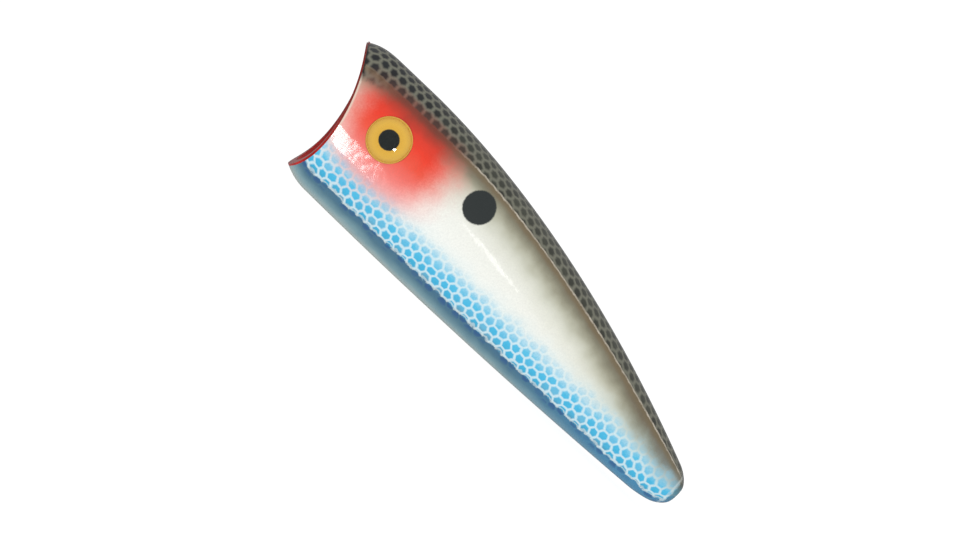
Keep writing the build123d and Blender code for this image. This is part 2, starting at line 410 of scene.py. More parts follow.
# Spray dust: the fine grain and the slow unevenness of every blown edge, 0.25 mm and 2.5 mm wide
dust = add("TexNoise", {"Vector": in_mm, "Scale": 4.0, "Detail": 3.0, "Roughness": 0.7})
drift = add("TexNoise", {"Vector": in_mm, "Scale": 0.4, "Detail": 2.0})
dust_off = add("Math", {0: dust, 1: 0.5}, operation="SUBTRACT")
drift_off = add("Math", {0: drift, 1: 0.5}, operation="SUBTRACT")
wander = add("Math", {0: drift_off, 1: 1.6, 2: 0.0}, operation="MULTIPLY_ADD")
wander = add("Math", {0: dust_off, 1: 0.9, 2: wander}, operation="MULTIPLY_ADD")
ridge_soft = add("Math", {0: ridge_mm, 1: wander}, operation="ADD")

# Grey-olive over the pearl, darkening towards the ridge and towards the tail: partly sprayed colour, partly
# painted shade where the flank turns under the ridge
olive_and_shade = add("MapRange", {"Value": back_mm, "From Min": 52.0, "From Max": 74.0, "To Max": 1.1})
olive_and_shade = add("Math", {0: olive_and_shade, 1: ridge_soft}, operation="ADD")
flank_share = add("MapRange", {"Value": olive_and_shade, "From Min": -10.0, "From Max": 2.0})
flank = add("ValToRGB", {0: flank_share}, stops=[
    (0.0, "#EFF1EB"), (1.0, "#55564A"), (0.25, "#EEEFE7"), (0.42, "#E3E4D8"), (0.52, "#D3D4C5"),
    (0.60, "#BCBCA9"), (0.67, "#A19F8B"), (0.74, "#878470"), (0.81, "#766D5A"),
])

# Red flare round the eye, darkened where it meets the ridge by the same olive and painted shade
red = add("ValToRGB", {0: flank_share}, stops=[
    (0.0, "#F07F78"), (1.0, "#443A34"), (0.30, "#EF513A"), (0.50, "#EF3A1F"), (0.60, "#E13821"),
    (0.68, "#C43622"), (0.76, "#A33826"), (0.83, "#7C3A2B"), (0.92, "#643F35"),
])
flare_mm = add("VectorMath", {0: side_view, 1: FLARE_MIDDLE}, operation="DISTANCE").node.outputs["Value"]
flare_soft = add("Math", {0: wander, 1: 1.5, 2: flare_mm}, operation="MULTIPLY_ADD")
flare = add("MapRange", {"Value": flare_soft, "From Min": 12.7, "From Max": 5.0}, **SOFT_EDGE)
sides = add("Mix", {0: flare, 6: flank, 7: red}, data_type="RGBA")

# Round black spot behind the eye, 4.8 mm across
spot_mm = add("VectorMath", {0: side_view, 1: SPOT_MIDDLE}, operation="DISTANCE").node.outputs["Value"]
spot_soft = add("Math", {0: dust_off, 1: 0.25, 2: spot_mm}, operation="MULTIPLY_ADD")
spot = add("MapRange", {"Value": spot_soft, "From Min": 2.5, "From Max": 2.25}, **SOFT_EDGE)
sides = add("Mix", {0: spot, 6: sides, 7: linear("#2C3232")}, data_type="RGBA")


def net(first, second, pitch, stray):
    """Cells of a hexagonal netting: (0 at a cell's middle to 0.5 on the cords, a number that
    differs from cell to cell). Neighbouring cells touch along the first direction."""
    flat = add("CombineXYZ", {0: first, 1: second})
    bent = add("TexNoise", {"Vector": flat, "Scale": 0.5, "Detail": 1.0}).node.outputs["Color"]
    bent = add("VectorMath", {0: bent, 1: (0.5, 0.5, 0.5)}, operation="SUBTRACT")
    moved = add("VectorMath", {0: bent, 1: (stray, stray, 0), 2: flat}, operation="MULTIPLY_ADD")
    cells = add("VectorMath", {0: moved, 1: (1 / pitch, 1 / pitch, 0)}, operation="MULTIPLY")
    slant = (0.5, math.sqrt(3) / 2, 0)
    half = (0.5, math.sqrt(3) / 2, 0.5)
    minus = tuple(-x for x in half)
    one = add("VectorMath", {0: cells, 1: half, 2: minus}, operation="WRAP")
    shifted = add("VectorMath", {0: cells, 1: slant}, operation="SUBTRACT")
    other = add("VectorMath", {0: shifted, 1: half, 2: minus}, operation="WRAP")
    one_far = add("VectorMath", {0: one}, operation="LENGTH").node.outputs["Value"]
    other_far = add("VectorMath", {0: other}, operation="LENGTH").node.outputs["Value"]
    nearer = add("Math", {0: other_far, 1: one_far}, operation="LESS_THAN")
    inside = add("Mix", {0: nearer, 4: one, 5: other}, data_type="VECTOR")
    middle = add("VectorMath", {0: cells, 1: inside}, operation="SUBTRACT")
    number = add("VectorMath", {0: middle, 1: (2, 2, 0), 2: (0.25, 0.25, 0)}, operation="MULTIPLY_ADD")
    number = add("VectorMath", {0: number}, operation="FLOOR")
    chance = add("TexWhiteNoise", {"Vector": number}, noise_dimensions="3D")
    folded = add("VectorMath", {0: inside}, operation="ABSOLUTE")
    straight = add("SeparateXYZ", {0: folded})
    slanted = add("VectorMath", {0: folded, 1: slant}, operation="DOT_PRODUCT").node.outputs["Value"]
    return add("Math", {0: straight, 1: slanted}, operation="MAXIMUM"), chance


# Netting along the lower flank, hexagonal cells of 1.56 mm: blue sprayed through them, fading upwards
rise = add("Math", {0: back_mm, 1: 0.07, 2: chine_mm}, operation="MULTIPLY_ADD")
low_edge, low_chance = net(rise, back_mm, FLANK_NET, 0.7)
low_cell = add("MapRange", {"Value": low_edge, "From Min": 0.48, "From Max": 0.29}, **SOFT_EDGE)
narrowing = add("Math", {0: chine_mm, 1: ridge_mm}, operation="SUBTRACT")
narrowing = add("MapRange", {"Value": narrowing, "From Min": 8.5, "From Max": 4.5, "To Max": 1.2})
low_reach = add("Math", {0: wander, 1: 1.1, 2: chine_mm}, operation="MULTIPLY_ADD")
low_reach = add("Math", {0: low_reach, 1: narrowing}, operation="ADD")
low_fade = add("MapRange", {"Value": low_reach, "From Min": 6.0, "From Max": 2.2}, **SOFT_EDGE)
low_strength = add("MapRange", {"Value": low_chance, "To Min": 0.7, "To Max": 1.0})
low_spray = add("Math", {0: low_cell, 1: low_strength, 2: 0.16}, operation="MULTIPLY_ADD")
low_spray = add("Math", {0: low_spray, 1: low_fade}, operation="MULTIPLY")
bare = add("Math", {0: 1.0, 1: flare}, operation="SUBTRACT")
bare = add("Math", {0: bare, 1: low_fade}, operation="MULTIPLY")
bare = add("Math", {0: bare, 1: 0.8}, operation="MULTIPLY")
sides = add("Mix", {0: bare, 6: sides, 7: linear("#E6F2F3")}, data_type="RGBA")
mist = add("MapRange", {"Value": low_reach, "From Min": 7.6, "From Max": 3.5, "To Max": 0.3}, **SOFT_EDGE)
sides = add("Mix", {0: mist, 6: sides, 7: linear("#A6D8E8")}, data_type="RGBA")
blue_share = add("Math", {0: low_chance, 1: 0.9, 2: chine_mm}, operation="MULTIPLY_ADD")
blue_share = add("MapRange", {"Value": blue_share, "From Min": -1.0, "From Max": 4.0})
blue = add("ValToRGB", {0: blue_share}, stops=[
    (0.0, "#245F86"), (1.0, "#55BFE4"), (0.25, "#2886AA"), (0.42, "#34AAD2"), (0.7, "#40B6E0"),
])
sides = add("Mix", {0: low_spray, 6: sides, 7: blue}, data_type="RGBA")

# Belly band: the belly's own steel blue, with painted shade darkest just under the chine, where the belly
# faces down, and a painted reflection of the white floor paling it towards the keel
belly_share = add("Math", {0: wander, 1: 0.8, 2: chine_mm}, operation="MULTIPLY_ADD")
belly_share = add("MapRange", {"Value": belly_share, "From Min": -7.5, "From Max": 0.0})
belly = add("ValToRGB", {0: belly_share}, stops=[
    (0.0, "#D6DACE"), (1.0, "#38698A"), (0.22, "#C3CDC6"), (0.42, "#A3B9BA"), (0.62, "#759AA4"),
    (0.82, "#4B7589"),
])
blotch = add("MapRange", {"Value": low_chance, "From Min": 0.35, "From Max": 0.65})
blotch_low = add("MapRange", {"Value": chine_mm, "From Min": -1.5, "From Max": -0.5}, **SOFT_EDGE)
blotch = add("Math", {0: blotch, 1: blotch_low}, operation="MULTIPLY")
blotch = add("Math", {0: blotch, 1: low_cell}, operation="MULTIPLY")
blotch = add("Math", {0: blotch, 1: 0.75}, operation="MULTIPLY")
sternmost = add("MapRange", {"Value": back_mm, "From Min": 45.0, "From Max": 68.0, "To Max": 0.6})
belly = add("Mix", {0: sternmost, 6: belly, 7: linear("#3F8FBC")}, data_type="RGBA")
belly = add("Mix", {0: blotch, 6: belly, 7: linear("#24548A")}, data_type="RGBA")
chine_soft = add("Math", {0: wander, 1: 0.6, 2: chine_mm}, operation="MULTIPLY_ADD")
under = add("MapRange", {"Value": chine_soft, "From Min": 0.2, "From Max": -0.35}, **SOFT_EDGE)
sides = add("Mix", {0: under, 6: sides, 7: belly}, data_type="RGBA")
# Painted highlight: a pale zigzag line along the chine, where the netting's edge meets the belly
chine_highlight = add("Math", {0: low_edge, 1: 0.9, 2: chine_soft}, operation="MULTIPLY_ADD")
chine_highlight = add("Math", {0: chine_highlight, 1: 0.36}, operation="SUBTRACT")
chine_highlight = add("Math", {0: chine_highlight}, operation="ABSOLUTE")
chine_highlight = add("MapRange", {"Value": chine_highlight, "From Min": 0.26, "From Max": 0.06, "To Max": 0.5}, **SOFT_EDGE)
sides = add("Mix", {0: chine_highlight, 6: sides, 7: linear("#DDE5E0")}, data_type="RGBA")

# Netting over the back, cells of 1.65 mm: nearly black at the head and olive behind it
high_rows = add("Math", {0: across_mm, 1: 0.95}, operation="MULTIPLY")
high_edge, high_chance = net(back_mm, high_rows, BACK_NET, 0.35)
high_cell = add("MapRange", {"Value": high_edge, "From Min": 0.49, "From Max": 0.22}, **SOFT_EDGE)
headward = add("MapRange", {"Value": back_mm, "From Min": 26.0, "From Max": 8.0}, **SOFT_EDGE)
cell_colour = add("Mix", {0: headward, 6: linear("#3E4035"), 7: linear("#1E2225")}, data_type="RGBA")
cell_shade = add("MapRange", {"Value": high_chance, "To Min": 0.75, "To Max": 1.3})
cell_colour = add("VectorMath", {0: cell_colour, "Scale": cell_shade}, operation="SCALE")
over_back = add("Mix", {0: high_cell, 6: linear("#79796A"), 7: cell_colour}, data_type="RGBA")
rust = add("MapRange", {"Value": ridge_soft, "From Min": 2.4, "From Max": 0.2, "To Max": 0.8}, **SOFT_EDGE)
rust = add("Math", {0: rust, 1: flare}, operation="MULTIPLY")
rust_colour = add("Mix", {0: high_cell, 6: linear("#8A4C3E"), 7: linear("#5C3A31")}, data_type="RGBA")
over_back = add("Mix", {0: rust, 6: over_back, 7: rust_colour}, data_type="RGBA")
ridge_edge = add("Math", {0: high_edge, 1: 0.3, 2: ridge_mm}, operation="MULTIPLY_ADD")
ridge_edge = add("Math", {0: dust_off, 1: 0.3, 2: ridge_edge}, operation="MULTIPLY_ADD")
lip_dip = add("MapRange", {"Value": back_mm, "From Min": 10.0, "From Max": 2.5, "To Max": 2.2}, **SOFT_EDGE)
lip_edge = add("Math", {0: wander, 1: 0.8, 2: ridge_edge}, operation="MULTIPLY_ADD")
lip_edge = add("Math", {0: lip_edge, 1: lip_dip}, operation="ADD")
lip_edge = add("MapRange", {"Value": lip_edge, "From Min": -0.3, "From Max": 1.3}, **SOFT_EDGE)
lip_share = add("Math", {0: lip_dip, 1: 0.45}, operation="MULTIPLY")
lip_share = add("Math", {0: lip_share, 1: lip_edge}, operation="MULTIPLY", use_clamp=True)
sides = add("Mix", {0: lip_share, 6: sides, 7: over_back}, data_type="RGBA")
upper = add("MapRange", {"Value": ridge_edge, "From Min": 0.15, "From Max": 0.45}, **SOFT_EDGE)
sides = add("Mix", {0: upper, 6: sides, 7: over_back}, data_type="RGBA")

# Along the ridge a thin broken cream line, a painted highlight where the ridge's edge catches the light,
# over a brown line of painted shade just under it, both lost in the flare
# Painted shade: a brown line just under the ridge
brown_mm = add("Math", {0: dust_off, 1: 0.5, 2: ridge_mm}, operation="MULTIPLY_ADD")
brown_lower = add(
    "MapRange", {"Value": brown_mm, "From Min": -1.1, "From Max": -0.3, "To Max": 0.55}, **SOFT_EDGE,
)
brown_upper = add("Math", {0: 1.0, 1: upper}, operation="SUBTRACT")
brown = add("Math", {0: brown_lower, 1: brown_upper}, operation="MULTIPLY")
brown_colour = add("Mix", {0: flare, 6: linear("#7D6B4C"), 7: linear("#7A3A2C")}, data_type="RGBA")
sides = add("Mix", {0: brown, 6: sides, 7: brown_colour}, data_type="RGBA")
# Painted highlight: the cream line on the ridge's edge
cream_mm = add("Math", {0: ridge_edge, 1: 0.22}, operation="SUBTRACT")
cream_mm = add("Math", {0: cream_mm}, operation="ABSOLUTE")
cream = add("MapRange", {"Value": cream_mm, "From Min": 0.22, "From Max": 0.05}, **SOFT_EDGE)
# Noise that breaks up the painted highlight along the ridge
ridge_highlight_breaks = add("TexNoise", {"Vector": in_mm, "Scale": 0.9, "Detail": 2.0})
ridge_highlight_breaks = add("MapRange", {"Value": ridge_highlight_breaks, "From Min": 0.35, "From Max": 0.65, "To Min": 0.3, "To Max": 0.75})
sternward = add(
    "MapRange", {"Value": back_mm, "From Min": 17.0, "From Max": 26.0, "To Min": 0.1}, **SOFT_EDGE,
)
cream = add("Math", {0: cream, 1: ridge_highlight_breaks}, operation="MULTIPLY")
cream = add("Math", {0: cream, 1: sternward}, operation="MULTIPLY")
cream_colour = add("Mix", {0: flare, 6: linear("#DDD4C4"), 7: linear("#A8604C")}, data_type="RGBA")
sides = add("Mix", {0: cream, 6: sides, 7: cream_colour}, data_type="RGBA")

# Blunt tail end: painted shade, the blue and olive darkened on the end that faces away, behind a pale
# corner line that is a painted highlight on its edge
tail_end_shade_colour = add("MapRange", {"Value": height_mm, "From Min": -6.8, "From Max": -3.6})
tail_end_shade_colour = add("ValToRGB", {0: tail_end_shade_colour}, stops=[(0.0, "#3A759A"), (1.0, "#4A4B40"), (0.5, "#4F7C88")])
end_soft = add("Math", {0: dust_off, 1: 0.5, 2: back_mm}, operation="MULTIPLY_ADD")
end = add("MapRange", {"Value": end_soft, "From Min": 74.9, "From Max": 75.3, "To Max": 0.85}, **SOFT_EDGE)
sides = add("Mix", {0: end, 6: sides, 7: tail_end_shade_colour}, data_type="RGBA")
# Painted highlight along the tail end's corner
corner_mm = add("Math", {0: end_soft, 1: 74.75}, operation="SUBTRACT")
corner_mm = add("Math", {0: corner_mm}, operation="ABSOLUTE")
corner_highlight = add(
    "MapRange", {"Value": corner_mm, "From Min": 0.25, "From Max": 0.05, "To Max": 0.4}, **SOFT_EDGE,
)
sides = add("Mix", {0: corner_highlight, 6: sides, 7: linear("#D8E2E0")}, data_type="RGBA")

# At the cup's rim a thin bare pearl edge, where the masking tape ended, black at the upper lip
edge_line = add("Math", {0: dust_off, 1: 0.3, 2: rim_mm}, operation="MULTIPLY_ADD")
edge_line = add("MapRange", {"Value": edge_line, "From Min": 0.7, "From Max": 0.5}, **SOFT_EDGE)
pale_part = add("MapRange", {"Value": height_mm, "From Min": -1.5, "From Max": 1.5, "To Max": 0.8})
black_part = add("MapRange", {"Value": height_mm, "From Min": 6.8, "From Max": 8.0})
pale_line = add("Math", {0: edge_line, 1: pale_part}, operation="MULTIPLY")
edge_colour = add("Mix", {0: black_part, 6: linear("#E3D2C0"), 7: linear("#1C1A18")}, data_type="RGBA")
sides = add("Mix", {0: pale_line, 6: sides, 7: edge_colour}, data_type="RGBA")

# The whole coat is faintly mottled by the spray
mottle = add("MapRange", {"Value": dust, "From Min": 0.3, "From Max": 0.7, "To Min": 0.93, "To Max": 1.04})
sides = add("VectorMath", {0: sides, "Scale": mottle}, operation="SCALE")

# Lacquer relief: low steps at the netting cells and a slow orange peel 1.2 mm wide
peel = add("TexNoise", {"Vector": in_mm, "Scale": 0.8, "Detail": 1.0})
relief = add("Math", {0: low_spray, 1: 0.15, 2: peel}, operation="MULTIPLY_ADD")
bump = add("Bump", {"Height": relief, "Strength": 0.25, "Distance": 0.00006})
shader = add("BsdfPrincipled", {
    "Base Color": sides, "Roughness": 0.38, "IOR": 1.49, "Specular IOR Level": 0.3, "Normal": bump,
    "Coat Weight": 1.0, "Coat Roughness": 0.08, "Coat IOR": 1.5, "Coat Normal": bump,
})
add("OutputMaterial", {"Surface": shader})

for skin, node_name in ((left_shell, "left_shell"), (right_shell, "right_shell")):
    skin.data.materials.clear()
    skin.data.materials.append(paint)
    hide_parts(node_name)
    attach(skin, "lure_body")

# ------------------------------ Mouth cup
# One red moulded cup, glued into the mouth. Its rim caps the front edges of both shells, and its
# floor is drilled for the screw eye.
CUP_WALL = 0.8
CUP_LIP = 0.3  # thickness of its wall just behind the rim
CUP_SEMI_WIDTH = 7.3
CUP_TALLER = 2.1  # how much more its half height is than its half width
CUP_COLUMNS = 192
ROWS_NEAR_FLOOR = 1.7  # crowds the mesh rows towards the floor, where the bowl curves most


def bowl_share(ahead):
    """Size of the bowl at this distance ahead of its floor, as a share of its size at the mouth."""
    return 0.30 + 0.78 * (1 - math.exp(-((max(ahead, 0) / 2.95) ** 0.85)))


def bowl_point(ahead, angle, grow):
    """A point of the bowl's wall in mm, made larger all round by grow."""
    share = bowl_share(ahead)
    wide = CUP_SEMI_WIDTH * share + grow
    tall = wide + CUP_TALLER * share
    return Vector((ahead - grow, wide * math.sin(angle), 0.9 * share + tall * math.cos(angle)))


def bowl_mouth(angle, grow, behind):
    """How far ahead the bowl's wall meets the face, or the face moved this far behind."""
    ahead = 7.0
    for _ in range(40):
        point = bowl_point(ahead, angle, grow)
        ahead += 0.5 * (CUP_DEPTH - face_back(point.z + LINE_TIE_HEIGHT) - behind - point.x)
    return ahead


def cup_point(stage, turn_share):
    """A point of the cup: stage 0 to 1 crosses the rim's edge, 1 to 2 its face, 2 to 3 runs down
    the bowl, 3 to 4 over the floor to the socket, 4 to 5 through it, 5 to 6 over the floor's back,
    6 to 7 up the outside of the bowl, and 7 to 8 behind the rim to its edge."""
    side = 1 if turn_share <= 0.5 else -1
    girth = 2 * turn_share if turn_share <= 0.5 else 2 - 2 * turn_share
    angle = 2 * math.pi * turn_share

    def rim(behind):
        back = front_edge(girth, behind)
        y, height = girth_point(max(back, 0), girth)
        return Vector((CUP_DEPTH - back, side * y, height - LINE_TIE_HEIGHT))

    if stage <= 1:
        return rim(CUP_RIM * (1 - stage))
    mouth_ahead = bowl_mouth(angle, 0, 0)
    if stage <= 2:
        point = rim(0).lerp(bowl_point(mouth_ahead, angle, 0), stage - 1)
        point.x = CUP_DEPTH - face_back(point.z + LINE_TIE_HEIGHT)
        return point
    if stage <= 3:
        return bowl_point(mouth_ahead * (3 - stage) ** ROWS_NEAR_FLOOR, angle, 0)
    hole = Vector((0, PILOT_RADIUS * math.sin(angle), PILOT_RADIUS * math.cos(angle)))
    if stage <= 4:
        return bowl_point(0, angle, 0).lerp(hole, stage - 3)
    under_hole = hole - Vector((CUP_WALL, 0, 0))
    if stage <= 5:
        return hole.lerp(under_hole, stage - 4)
    if stage <= 6:
        return under_hole.lerp(bowl_point(0, angle, CUP_WALL), stage - 5)
    if stage <= 7:
        share = stage - 6
        grow = CUP_WALL + (CUP_LIP - CUP_WALL) * share
        return bowl_point(bowl_mouth(angle, grow, CUP_RIM) * share**ROWS_NEAR_FLOOR, angle, grow)
    outer = bowl_point(bowl_mouth(angle, CUP_LIP, CUP_RIM), angle, CUP_LIP)
    return outer.lerp(rim(CUP_RIM), stage - 7)


cup_stages = (
    [0.0, 0.5, 0.85, 1.0] + [1 + i / 6 for i in range(1, 7)] + [2 + i / 30 for i in range(1, 31)]
    + [3 + i / 4 for i in range(1, 5)] + [4.5, 5.0, 5.5] + [6 + i / 16 for i in range(17)] + [7.5, 8.0]
)


def cup_place(row_share, column_share):
    """The cup's grid: a row for each stage, and columns that meet after one turn."""
    stage = cup_stages[round(row_share * (len(cup_stages) - 1))]
    return cup_point(stage, column_share % 1) * MM


made = grid(len(cup_stages) - 1, CUP_COLUMNS, cup_place)
bmesh.ops.remove_doubles(made, verts=made.verts, dist=1e-7)
bmesh.ops.recalc_face_normals(made, faces=made.faces)
on_floor = Vector((0, 2 * PILOT_RADIUS, 0)) * MM
floor_face = min(made.faces, key=lambda face: (face.calc_center_median() - on_floor).length)
if floor_face.normal.x < 0:
    bmesh.ops.reverse_faces(made, faces=made.faces)
mouth_cup = finished(made, "cup_insert", 40)
mouth_cup.data.attributes.new("lip", "FLOAT", "POINT")
for vert, lip in zip(mouth_cup.data.vertices, mouth_cup.data.attributes["lip"].data):
    in_front = CUP_DEPTH - face_back(vert.co.z / MM + LINE_TIE_HEIGHT) - vert.co.x / MM
    lip.value = 1.0 if abs(in_front) < CUP_RIM + 0.05 else 0.0

# Injection-moulded styrene, red right through: deep and wet-looking, with faint flow marks 2 mm
# wide, and the rim darker on its upper half
red_plastic, add = material("moulded_red_styrene")
in_mm = place_in_mm(add)
flow = add("TexNoise", {"Vector": in_mm, "Scale": 0.5, "Detail": 3.0})
red_tone = add("ValToRGB", {0: flow}, stops=[(0.3, "#A0120C"), (0.7, "#C21B13")])
lip = add("Attribute", attribute_name="lip").node.outputs["Fac"]
upper_half = add("SeparateXYZ", {0: in_mm}).node.outputs["Z"]
upper_half = add("MapRange", {"Value": upper_half, "From Min": -4.0, "From Max": 3.0, "To Max": 0.8})
upper_rim_darkening = add("Math", {0: lip, 1: upper_half}, operation="MULTIPLY")
red_tone = add("Mix", {0: upper_rim_darkening, 6: red_tone, 7: linear("#6E261E")}, data_type="RGBA")
marks = add("TexNoise", {"Vector": in_mm, "Scale": 1.4, "Detail": 2.0})
bump = add("Bump", {"Height": marks, "Strength": 0.2, "Distance": 0.00008})
rough = add("MapRange", {"Value": flow, "To Min": 0.12, "To Max": 0.28})
shader = add("BsdfPrincipled", {
    "Base Color": red_tone, "Roughness": rough, "IOR": 1.5, "Normal": bump,
    "Coat Weight": 0.5, "Coat Roughness": 0.06,
})
add("OutputMaterial", {"Surface": shader})
mouth_cup.data.materials.append(red_plastic)
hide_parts("mouth_cup")
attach(mouth_cup, "lure_body")

# ------------------------------ Eyes
# Each eye is a printed card disc, yellow with a black pupil, glued on the socket's floor under a
# domed lens of clear cast resin.
DISC_THICKNESS = 0.3
LENS_EDGE = 0.3
LENS_CROWN = 0.75
LENS_RADIUS = 3.05  # where its edge turns into the dome


def turned(profile, steps, place, name, side):
    """Spins a closed outline of (radius, height) in mm about the place's Z axis."""
    made = bmesh.new()
    points = [made.verts.new(Vector((radius, 0, height)) * MM) for radius, height in profile]
    edges = [made.edges.new(pair) for pair in zip(points, points[1:])]
    bmesh.ops.spin(
        made, geom=points + edges, axis=(0, 0, 1), cent=(0, 0, 0), angle=2 * math.pi, steps=steps,
        use_merge=True,
    )
    bmesh.ops.remove_doubles(made, verts=made.verts, dist=1e-7)
    bmesh.ops.transform(made, matrix=place, verts=made.verts)
    if side < 0:
        bmesh.ops.scale(made, vec=(1, -1, 1), verts=made.verts)
    bmesh.ops.recalc_face_normals(made, faces=made.faces)
    return finished(made, name)


dome = (EYE_RADIUS**2 + LENS_CROWN**2) / (2 * LENS_CROWN)
# The disc's rim is folded up round the lens
disc_outline = [
    (0, 0), (1.6, 0), (3.22, 0), (3.28, 0.06), (3.28, 0.66), (3.24, 0.72), (3.17, 0.7), (3.12, 0.6),
]
disc_outline += [(radius, DISC_THICKNESS) for radius in (3.1, 2.4, 1.5, 0.7, 0)]
lens_outline = [(0, 0.01), (2.0, 0.01), (LENS_RADIUS, 0.01), (3.09, 0.05), (3.1, 0.2), (3.09, 0.27)]
for step in range(1, 25):
    slope = math.asin(LENS_RADIUS / dome) * (1 - step / 24)
    lens_outline.append((dome * math.sin(slope), LENS_EDGE + LENS_CROWN - dome + dome * math.cos(slope)))

# Screen-printed card: flat yellow ink with a golden edge, round black pupil
eye_print, add = material("screen_printed_card")
in_mm = place_in_mm(add)
split = add("SeparateXYZ", {0: in_mm}).node
width = add("Math", {0: split.outputs["Y"]}, operation="ABSOLUTE")
left_place = add("CombineXYZ", {0: split.outputs["X"], 1: width, 2: split.outputs["Z"]})
disc_middle = eye_centre / MM - eye_normal * (EYE_SOCKET - DISC_THICKNESS)
out_mm = add(
    "VectorMath", {0: left_place, 1: tuple(disc_middle)}, operation="DISTANCE",
).node.outputs["Value"]
ink = add("TexNoise", {"Vector": in_mm, "Scale": 5.0, "Detail": 2.0})
ragged = add("Math", {0: ink, 1: 0.12, 2: out_mm}, operation="MULTIPLY_ADD")
ring = add("MapRange", {"Value": ragged, "From Min": 0.0, "From Max": 3.3})
colours = add("ValToRGB", {0: ring}, stops=[
    (0.0, "#1E2628"), (1.0, "#E0B04E"), (0.45, "#20282A"), (0.485, "#FBC445"), (0.7, "#FFCC50"),
    (0.92, "#F8C85A"),
])
shader = add("BsdfPrincipled", {"Base Color": colours, "Roughness": 0.45, "IOR": 1.5})
add("OutputMaterial", {"Surface": shader})

# Clear cast resin: nothing of its own colour, only a mirror-like skin that brightens at the edge
clear, add = material("cast_clear_resin")
window = add("BsdfTransparent", {"Color": (0.97, 0.97, 0.95, 1)})
in_mm = place_in_mm(add)
ripple = add("TexNoise", {"Vector": in_mm, "Scale": 0.6, "Detail": 1.0})
bump = add("Bump", {"Height": ripple, "Strength": 0.15, "Distance": 0.00005})
gloss = add("BsdfGlossy", {"Roughness": 0.04, "Normal": bump})
share = add("Fresnel", {"IOR": 1.5, "Normal": bump})
front = add("NewGeometry").node.outputs["Backfacing"]
front = add("Math", {0: 1.0, 1: front}, operation="SUBTRACT")
share = add("Math", {0: share, 1: front}, operation="MULTIPLY")
both = add("MixShader", {0: share, 1: window, 2: gloss})
add("OutputMaterial", {"Surface": both})

disc_foot = left_eye @ Matrix.Translation((0, 0, -EYE_SOCKET * MM))
lens_foot = left_eye @ Matrix.Translation((0, 0, (DISC_THICKNESS - EYE_SOCKET) * MM))
for side, name in ((1, "left"), (-1, "right")):
    disc = turned(disc_outline, 96, disc_foot, name + "_eye_card", side)
    disc.data.materials.append(eye_print)
    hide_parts(name + "_eye_disc")
    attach(disc, "lure_body")
    lens = turned(lens_outline, 96, lens_foot, name + "_eye_dome", side)
    lens.data.materials.append(clear)
    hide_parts(name + "_eye_lens")
    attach(lens, "lure_body")

# ------------------------------ Inner mouldings
# Ribs, screw bosses, the rattle tube with its cell walls, pin bosses and the solid tail block. They
# are moulded in one with the half shells, of bare white ABS, and end at the centre plane.
SEATED = WALL - 0.03  # how deep below the skin the mouldings start
CLEARANCE = 0.02
RIB = 1.1
NOSE_RIB_BACK, CRADLE_RIBS_BACK = 19.5, (57.2, 61.6)
TAIL_BLOCK_BACK = 64.5
BOSS_RADIUS = 2.6
BELLY_BOSS_FOOT, BELLY_BOSS_TOP = 0.8, 11.0
NOSE_PILOT, BELLY_PILOT, TAIL_PILOT = 9.0, 8.0, 8.0  # lengths of the three pilot sockets
CELLS_BACK, CELL_HEIGHT, CELL_LENGTH, CELL_RADIUS, CELL_WALL = 31.0, 11.0, 7.2, 2.3, 0.9
BALLAST_BACK, BALLAST_HEIGHT, BALLAST_LENGTH, BALLAST_RADIUS = 55.6, 6.4, 8.6, 3.3
PINS = [(20.0, 18.6), (20.0, 3.4), (38.65, 16.4), (54.85, 12.4), (54.85, 3.2), (67.5, 8.0)]
PIN_RADIUS, PIN_LENGTH, PIN_GAP = 0.75, 1.4, 0.05
PIN_BOSS_RADIUS, PIN_BOSS_LENGTH = 1.6, 2.6


def rod(radius, length, back, height, axis="X"):
    """A closed cylinder from this place, running tailwards (X), to the left (Y) or upwards (Z)."""
    place = Matrix.Translation(Vector((CUP_DEPTH - back, 0, height - LINE_TIE_HEIGHT)) * MM)
    if axis != "Z":
        place @= Matrix.Rotation(-math.pi / 2, 4, "Y" if axis == "X" else "X")
    return cylinder(radius * MM, length * MM, 40, place)


def cross_rod(radius, reach, back, height):
    """A closed cylinder across the centre plane, which reaches this far to either side."""
    made = rod(radius, 2 * reach, back, height, "Y")
    bmesh.ops.translate(made, vec=(0, -reach * MM, 0), verts=made.verts)
    return made


def slab(back, length):
    """A plate or block that fills the hollow over this length."""
    made = bmesh.new()
    loops = []
    for station in (back, back + length):
        fullness = 1 - SEATED / half_width(station)
        ring = bmesh.ops.create_circle(made, segments=64, radius=1)["verts"]
        for number, vert in enumerate(ring):
            share = number / len(ring)
            y, height = girth_point(station, 2 * min(share, 1 - share), fullness)
            y *= 1 if share < 0.5 else -1
            vert.co = Vector((CUP_DEPTH - station, y, height - LINE_TIE_HEIGHT)) * MM
        loops.append(bmesh.ops.contextual_create(made, geom=ring)["faces"][0])
    bmesh.ops.bridge_loops(made, edges=[edge for face in loops for edge in face.edges])
    bmesh.ops.recalc_face_normals(made, faces=made.faces)
    return made


